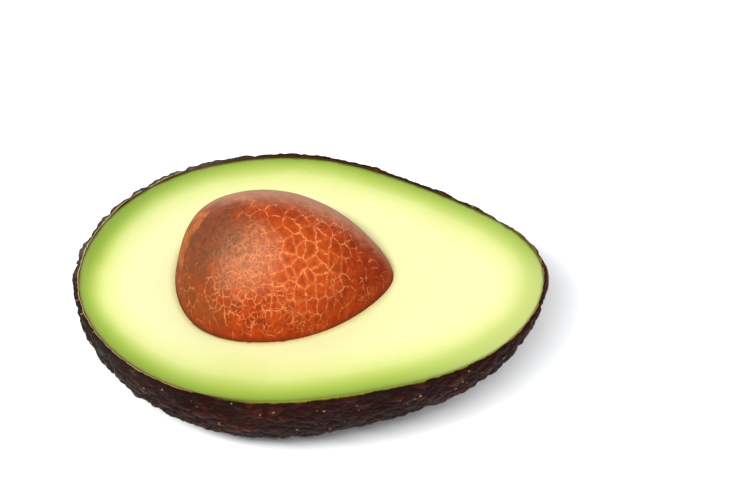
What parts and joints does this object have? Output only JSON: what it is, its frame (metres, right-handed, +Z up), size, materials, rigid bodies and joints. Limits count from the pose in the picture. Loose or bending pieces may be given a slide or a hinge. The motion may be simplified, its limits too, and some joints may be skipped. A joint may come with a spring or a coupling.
{
  "type": "avocado half",
  "caption": "Half of a ripe dark-skinned avocado, cut lengthwise, lying on its pebbled back with the seed still in its hollow.",
  "frame": {"origin": "on the surface it lies on, under the middle of its length and width", "axes": "+X along the fruit towards its stem end, +Z up and square to the flat cut face, +Y across"},
  "size_m": [0.1056, 0.0734, 0.0534],
  "materials": {
    "skin": "satin",
    "flesh": "satin",
    "seed": "satin"
  },
  "bodies": {
    "root": {"skin": "skin", "flesh": "flesh", "seed": "seed"}
  },
  "joints": []
}
